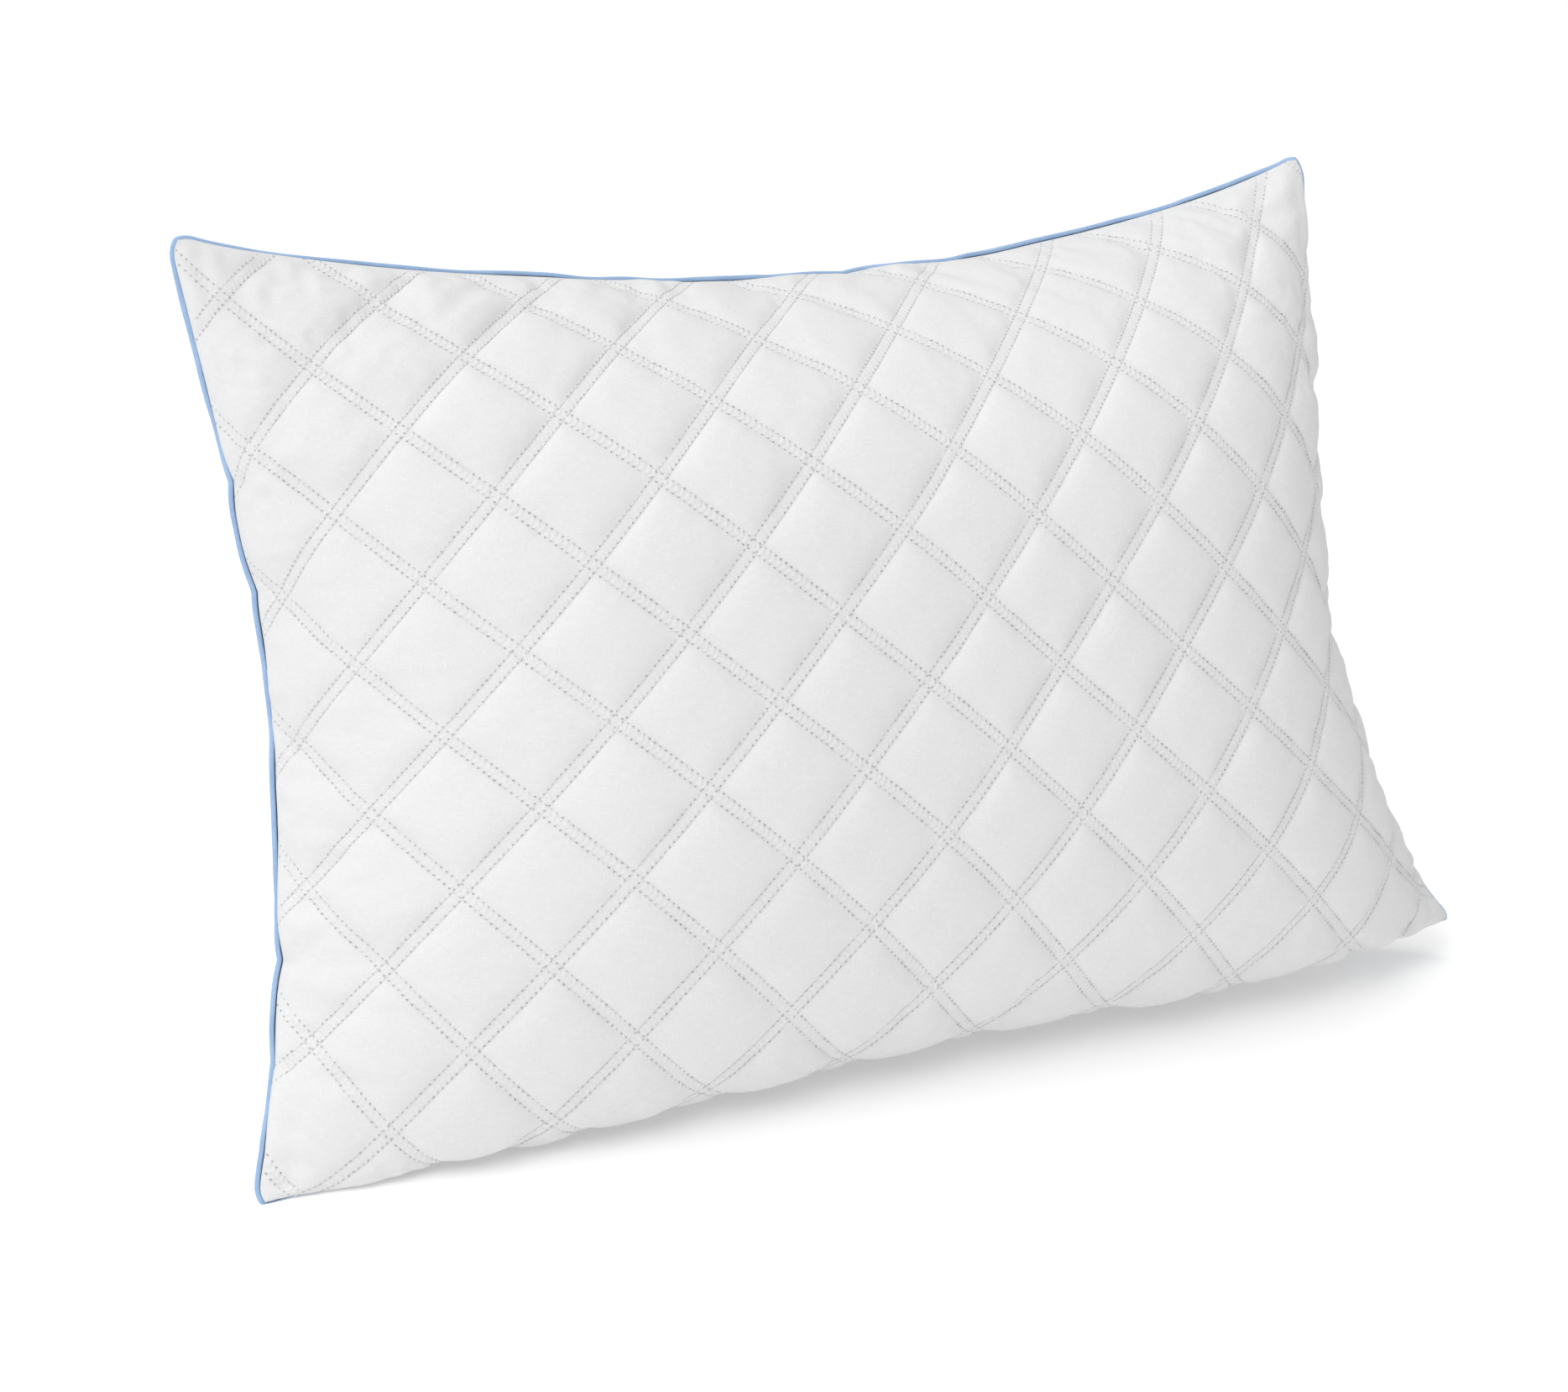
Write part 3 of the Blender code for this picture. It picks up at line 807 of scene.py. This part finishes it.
class PILLOW_OT_stitching(bpy.types.Operator):
    """Sew the double rows of quilting stitches on both faces"""

    bl_idname = "pillow.stitching"
    bl_label = "Stitching"

    def execute(self, context):
        for word, side in (("front", FRONT), ("back", BACK)):
            make_stitching(word, side)
        return {"FINISHED"}


def repeat_mesh(mesh, count):
    """Make a mesh into so many copies of itself, one after another, by doubling."""
    block, whole = mesh.copy(), bmesh.new()
    while count:
        if count % 2:
            whole.from_mesh(block)
        count //= 2
        twice = bmesh.new()
        twice.from_mesh(block)
        twice.from_mesh(block)
        twice.to_mesh(block)
        twice.free()
    whole.to_mesh(mesh)
    whole.free()
    bpy.data.meshes.remove(block)


def stitch_ends(cloth):
    """Flat places of the two ends of every stitch."""
    q = cloth.quilting
    spacing, gap = sqrt(2) * q.half_diagonal, half_gap(q)
    lu, lv = cloth.surface.half_u - 0.004, cloth.surface.half_v - 0.004
    longest = int((lu + lv) * 2 / q.pitch)
    lines = int((lu + lv) * 2 / spacing) + 1
    half_stitch = 0.38 * q.pitch
    starts, ends = [], []
    for slope in (1, -1):
        for line in range(-lines, lines + 1):
            for offset in (-gap, gap):
                across = line * spacing + offset
                along = (np.arange(-longest, longest) + 0.5) * q.pitch
                for group, shift in ((starts, -half_stitch), (ends, half_stitch)):
                    place = along + shift
                    falling, rising = (across, place) if slope == 1 else (place, across)
                    u = q.first_u + (falling + rising) / sqrt(2)
                    v = q.first_v + (falling - rising) / sqrt(2)
                    group.append(np.stack([u + 0 * place, v + 0 * place], -1))
    starts, ends = np.concatenate(starts), np.concatenate(ends)
    inside = lambda p: (np.abs(p[:, 0]) < lu) & (np.abs(p[:, 1]) < lv)
    kept = inside(starts) & inside(ends)
    return starts[kept], ends[kept]


def make_stitching(word, side):
    """Every stitch of one face, each a small round-ended piece of thread."""
    cloth = face(side)
    starts, ends = stitch_ends(cloth)
    first = cloth.sample(cloth.points, starts[:, 0], starts[:, 1])
    last = cloth.sample(cloth.points, ends[:, 0], ends[:, 1])
    middle = (starts + ends) / 2
    normal = cloth.sample(cloth.normals, middle[:, 0], middle[:, 1])
    radius = cloth.quilting.thread / 2
    along = last - first
    span = np.linalg.norm(along, axis=1, keepdims=True)
    along = along / span
    sideways = np.cross(normal, along)
    sideways = sideways / np.linalg.norm(sideways, axis=1, keepdims=True)
    out = np.cross(along, sideways)
    centre = (first + last) / 2 + out * radius * 0.35
    shell = bmesh.new()
    bmesh.ops.create_uvsphere(shell, u_segments=5, v_segments=3, radius=1.0)
    one = np.array([vertex.co for vertex in shell.verts])
    mesh = bpy.data.meshes.new(word)
    shell.to_mesh(mesh)
    shell.free()
    repeat_mesh(mesh, len(centre))
    place = (centre[:, None] + one[None, :, :1] * sideways[:, None] * radius
             + one[None, :, 1:2] * out[:, None] * radius + one[None, :, 2:] * (along * span / 2)[:, None])
    place[..., 2] = np.maximum(place[..., 2], 0)
    mesh.vertices.foreach_set("co", place.astype(np.float32).ravel())
    mesh.update()
    material = bpy.data.materials.get("quilting thread") or thread_material()
    stitching = finished(f"{word}_stitching", mesh, material)
    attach(stitching, "root")


def seam_loop(surface, count):
    """Points round the seam line and the directions out of the pillow and across it."""
    lu, lv = surface.half_u, surface.half_v
    share = np.linspace(-1, 1, 2001)[:-1]
    one = np.ones_like(share)
    u = np.concatenate([share * lu, one * lu, -share * lu, -one * lu])
    v = np.concatenate([-one * lv, share * lv, one * lv, -share * lv])
    low, high = surface.at(u, v, FRONT), surface.at(u, v, BACK)
    points = (low + high) / 2
    steps = np.linalg.norm(np.roll(points, -1, 0) - points, axis=1)
    run = np.concatenate([[0], np.cumsum(steps)])
    even = np.arange(count) / count * run[-1]
    closed = lambda field: np.concatenate([field, field[:1]])
    along = lambda field: np.stack([np.interp(even, run, closed(field)[:, k]) for k in range(3)], -1)
    points, across = along(points), along(high - low)
    tangent = np.roll(points, -3, 0) - np.roll(points, 3, 0)
    tangent /= np.linalg.norm(tangent, axis=1, keepdims=True)
    across -= tangent * (across * tangent).sum(1, keepdims=True)
    across /= np.linalg.norm(across, axis=1, keepdims=True)
    out = np.cross(across, tangent)
    return points, out, across, even


def tube_round_seam(name, radius_at, offset_at, stations, sides, material):
    """A closed tube that follows the seam."""
    surface = face(FRONT).surface
    points, out, across, run = seam_loop(surface, stations)
    radius = radius_at(run)
    offset = offset_at(run)[:, None]
    grid, column, row = grid_mesh(name, stations + 1, sides + 1)
    ring = column % stations
    angle = tau * (row % sides) / sides
    centre = points + out * offset
    wide = radius[ring][:, None]
    around = out[ring] * np.cos(angle)[:, None] + across[ring] * np.sin(angle)[:, None]
    place = centre[ring] + around * wide
    place[:, 2] = np.maximum(place[:, 2], 0)
    grid.vertices.foreach_set("co", place.astype(np.float32).ravel())
    step = run[1] - run[0]
    set_uv(grid, column * step, row / sides * tau * radius.mean())
    shell = bmesh.new()
    shell.from_mesh(grid)
    bmesh.ops.remove_doubles(shell, verts=shell.verts, dist=1e-6)
    bmesh.ops.recalc_face_normals(shell, faces=shell.faces)
    if shell.calc_volume(signed=True) < 0:
        bmesh.ops.reverse_faces(shell, faces=shell.faces)
    shell.to_mesh(grid)
    shell.free()
    return finished(name, grid, material)


class PILLOW_OT_piping(bpy.types.Operator):
    """Lay the piping and its cord in the seam"""

    bl_idname = "pillow.piping"
    bl_label = "Piping"

    def execute(self, context):
        trim = context.scene.pillow_trim
        radius = trim.diameter / 2
        uneven = lambda run: radius * (1 + 0.10 * layered_noise(run, run * 0, 0.035, 1.0, 7))
        sway = lambda run: layered_noise(run, run * 0, 0.05, 1.0, 9, 2)
        depth = lambda run: radius * np.clip(0.60 + 1.1 * sway(run), -0.5, 1.0)
        cover = tube_round_seam("piping_strip", uneven, depth, trim.stations, trim.sides, piping_material())
        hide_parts("piping_cover")
        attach(cover, "root")
        thin = lambda run: trim.cord / 2 + 0 * run
        cord = tube_round_seam("piping_filler", thin, depth, trim.stations // 2, 8,
                               fibre_material("cotton cord", context.scene.pillow_finish.wadding, 900.0))
        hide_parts("piping_cord")
        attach(cord, "root")
        return {"FINISHED"}


class PILLOW_OT_inside(bpy.types.Operator):
    """Fill the pillow: wadding, lining and fibre"""

    bl_idname = "pillow.inside"
    bl_label = "Inside"

    def execute(self, context):
        tint = context.scene.pillow_finish.wadding
        wadding = fibre_material("wadding", tint, 700.0)
        lining = fibre_material("lining", tint, 2400.0)
        fill = fibre_material("fibre fill", tint, 260.0)
        for word, side in (("front", FRONT), ("back", BACK)):
            layer(f"{word}_wadding_layer", f"{word}_wadding", "wadding", side, WADDING_DEPTHS, wadding)
            layer(f"{word}_lining_layer", f"{word}_lining", "lining", side, LINING_DEPTHS, lining)
        shells = [inner_sheet("fill", side, FILL_DEPTH, fill) for side in (FRONT, BACK)]
        body = close_pair("fibre_filling", shells, fill)
        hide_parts("fibre_fill")
        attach(body, "root")
        return {"FINISHED"}


def inner_sheet(name, side, depth, material):
    """A sheet inside one face, at an even depth below it."""
    surface = face(side).surface
    us = np.linspace(-surface.half_u + LAYER_INSET, surface.half_u - LAYER_INSET, 73)
    vs = np.linspace(-surface.half_v + LAYER_INSET, surface.half_v - LAYER_INSET, 53)
    u, v = np.meshgrid(us, vs, indexing="ij")
    base = surface.at(u, v, side)
    middle = (surface.at(u, v, FRONT) + surface.at(u, v, BACK)) / 2
    normal = normals_of(base, side)
    room = np.linalg.norm(base - middle, axis=-1)
    drop = np.minimum(depth, room * ROOM_SHARE * depth / DEEPEST)
    points = base - normal * drop[..., None]
    points[..., 2] = np.maximum(points[..., 2], 0.0005 + depth * 0.3)
    return sheet_piece(name, points, u, v, side, material)


def close_pair(name, sheets, material):
    """Join two facing sheets along their borders into one closed body."""
    shell = bmesh.new()
    for sheet in sheets:
        shell.from_mesh(sheet.data)
        bpy.data.objects.remove(sheet)
    borders = [edge for edge in shell.edges if edge.is_boundary]
    bmesh.ops.bridge_loops(shell, edges=borders)
    bmesh.ops.recalc_face_normals(shell, faces=shell.faces)
    if shell.calc_volume(signed=True) < 0:
        bmesh.ops.reverse_faces(shell, faces=shell.faces)
    mesh = bpy.data.meshes.new(name)
    shell.to_mesh(mesh)
    shell.free()
    return finished(name, mesh, material)


def layer(name, node, slot, side, depths, material):
    """A thin closed layer between two depths below one face."""
    sheets = [inner_sheet(name, side, depth, material) for depth in depths]
    sheets[1].data.flip_normals()
    piece = close_pair(name, sheets, material)
    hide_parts(node)
    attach(piece, "root")


class PILLOW_OT_stage(bpy.types.Operator):
    """Set the floor, the light and the camera"""

    bl_idname = "pillow.stage"
    bl_label = "Studio"

    def execute(self, context):
        make_floor(context.scene)
        make_light(context.scene)
        make_camera(context.scene)
        return {"FINISHED"}


def make_floor(scene):
    """A plain pale floor."""
    shell = bmesh.new()
    bmesh.ops.create_grid(shell, x_segments=4, y_segments=4, size=60.0)
    mesh = bpy.data.meshes.new("floor")
    shell.to_mesh(mesh)
    shell.free()
    shader = Shader("studio floor")
    cloudy = shader.noise(shader.object_place(), 2.0)
    tint = scene.pillow_finish.floor
    shader.set(Base_Color=shader.mix(cloudy, rgba(tint, 0.99), rgba(tint, 1.0)), Roughness=0.9,
               Specular_IOR_Level=0.0, Emission_Color=rgba((1.0, 1.0, 1.0)),
               Emission_Strength=scene.pillow_studio.glow)
    floor = finished("floor", mesh, shader.material)


def area_lamp(scene, name, power, size, place, aim):
    """A square soft lamp that points at a place."""
    lamp = bpy.data.lights.new(name, "AREA")
    lamp.energy, lamp.size = power, size
    rig = bpy.data.objects.new(name, lamp)
    rig.location = place
    rig.rotation_euler = (Vector(aim) - Vector(place)).to_track_quat("-Z", "Y").to_euler()
    scene.collection.objects.link(rig)


def make_light(scene):
    """A white surround, a large soft lamp from the upper left and a broad light from above."""
    studio = scene.pillow_studio
    world = bpy.data.worlds.new("studio")
    world.use_nodes = True
    scene.world = world
    tree = world.node_tree
    surround = tree.nodes["Background"]
    path = tree.nodes.new("ShaderNodeLightPath")
    strength = tree.nodes.new("ShaderNodeMix")
    strength.inputs[2].default_value = studio.ambient
    strength.inputs[3].default_value = BACKDROP
    tree.links.new(path.outputs["Is Camera Ray"], strength.inputs[0])
    tree.links.new(strength.outputs[0], surround.inputs["Strength"])
    surround.inputs["Color"].default_value = (1, 1, 1, 1)
    area_lamp(scene, "key", studio.key, KEY_SIZE, KEY_PLACE, KEY_AIM)
    overhead = bpy.data.lights.new("overhead", "SUN")
    overhead.energy, overhead.angle = studio.overhead, OVERHEAD_SPREAD
    rig = bpy.data.objects.new("overhead", overhead)
    rig.rotation_euler = Vector(OVERHEAD_WAY).to_track_quat("-Z", "Y").to_euler()
    scene.collection.objects.link(rig)
    scene.view_settings.view_transform = "Standard"


def make_camera(scene):
    """A camera ahead of the pillow, to its left and a little above it."""
    studio = scene.pillow_studio
    az, down, roll = studio.azimuth, studio.pitch, studio.roll
    ahead = Vector((sin(az) * cos(down), cos(az) * cos(down), -sin(down)))
    right = Vector((cos(az), -sin(az), 0))
    up = right.cross(ahead)
    right, up = right * cos(roll) + up * sin(roll), up * cos(roll) - right * sin(roll)
    data = bpy.data.cameras.new("camera")
    data.lens, data.sensor_width = studio.lens, SENSOR_WIDTH
    data.clip_end = 200.0
    camera = bpy.data.objects.new("camera", data)
    matrix = Matrix((right, up, -ahead)).transposed().to_4x4()
    origin = Vector(face(FRONT).surface.origin)
    matrix.translation = Vector(studio.aim) + origin - ahead * studio.distance
    camera.matrix_world = matrix
    scene.collection.objects.link(camera)
    scene.camera = camera


# ---------------------------------------------------------------- the panel and the run

OPERATORS = (PILLOW_OT_front_panel, PILLOW_OT_back_panel, PILLOW_OT_stitching, PILLOW_OT_piping,
             PILLOW_OT_inside, PILLOW_OT_stage)


class PILLOW_PT_sidebar(bpy.types.Panel):
    """The pillow's pieces, in the 3D view's sidebar"""

    bl_idname = "PILLOW_PT_sidebar"
    bl_label = "Quilted Bed Pillow"
    bl_space_type = "VIEW_3D"
    bl_region_type = "UI"
    bl_category = "Pillow"

    def draw(self, context):
        for operator in OPERATORS:
            self.layout.operator(operator.bl_idname)


def register():
    for group in GROUPS.values():
        bpy.utils.register_class(group)
    for key, group in GROUPS.items():
        setattr(bpy.types.Scene, key, PointerProperty(type=group))
    for tool in (*OPERATORS, PILLOW_PT_sidebar):
        bpy.utils.register_class(tool)


def unregister():
    for tool in (PILLOW_PT_sidebar, *reversed(OPERATORS)):
        bpy.utils.unregister_class(tool)
    for key in GROUPS:
        delattr(bpy.types.Scene, key)
    for group in reversed(list(GROUPS.values())):
        bpy.utils.unregister_class(group)


def main():
    register()
    bpy.ops.pillow.front_panel()
    bpy.ops.pillow.back_panel()
    bpy.ops.pillow.stitching()
    bpy.ops.pillow.piping()
    bpy.ops.pillow.inside()
    bpy.ops.pillow.stage()


if __name__ == "__main__":
    main()
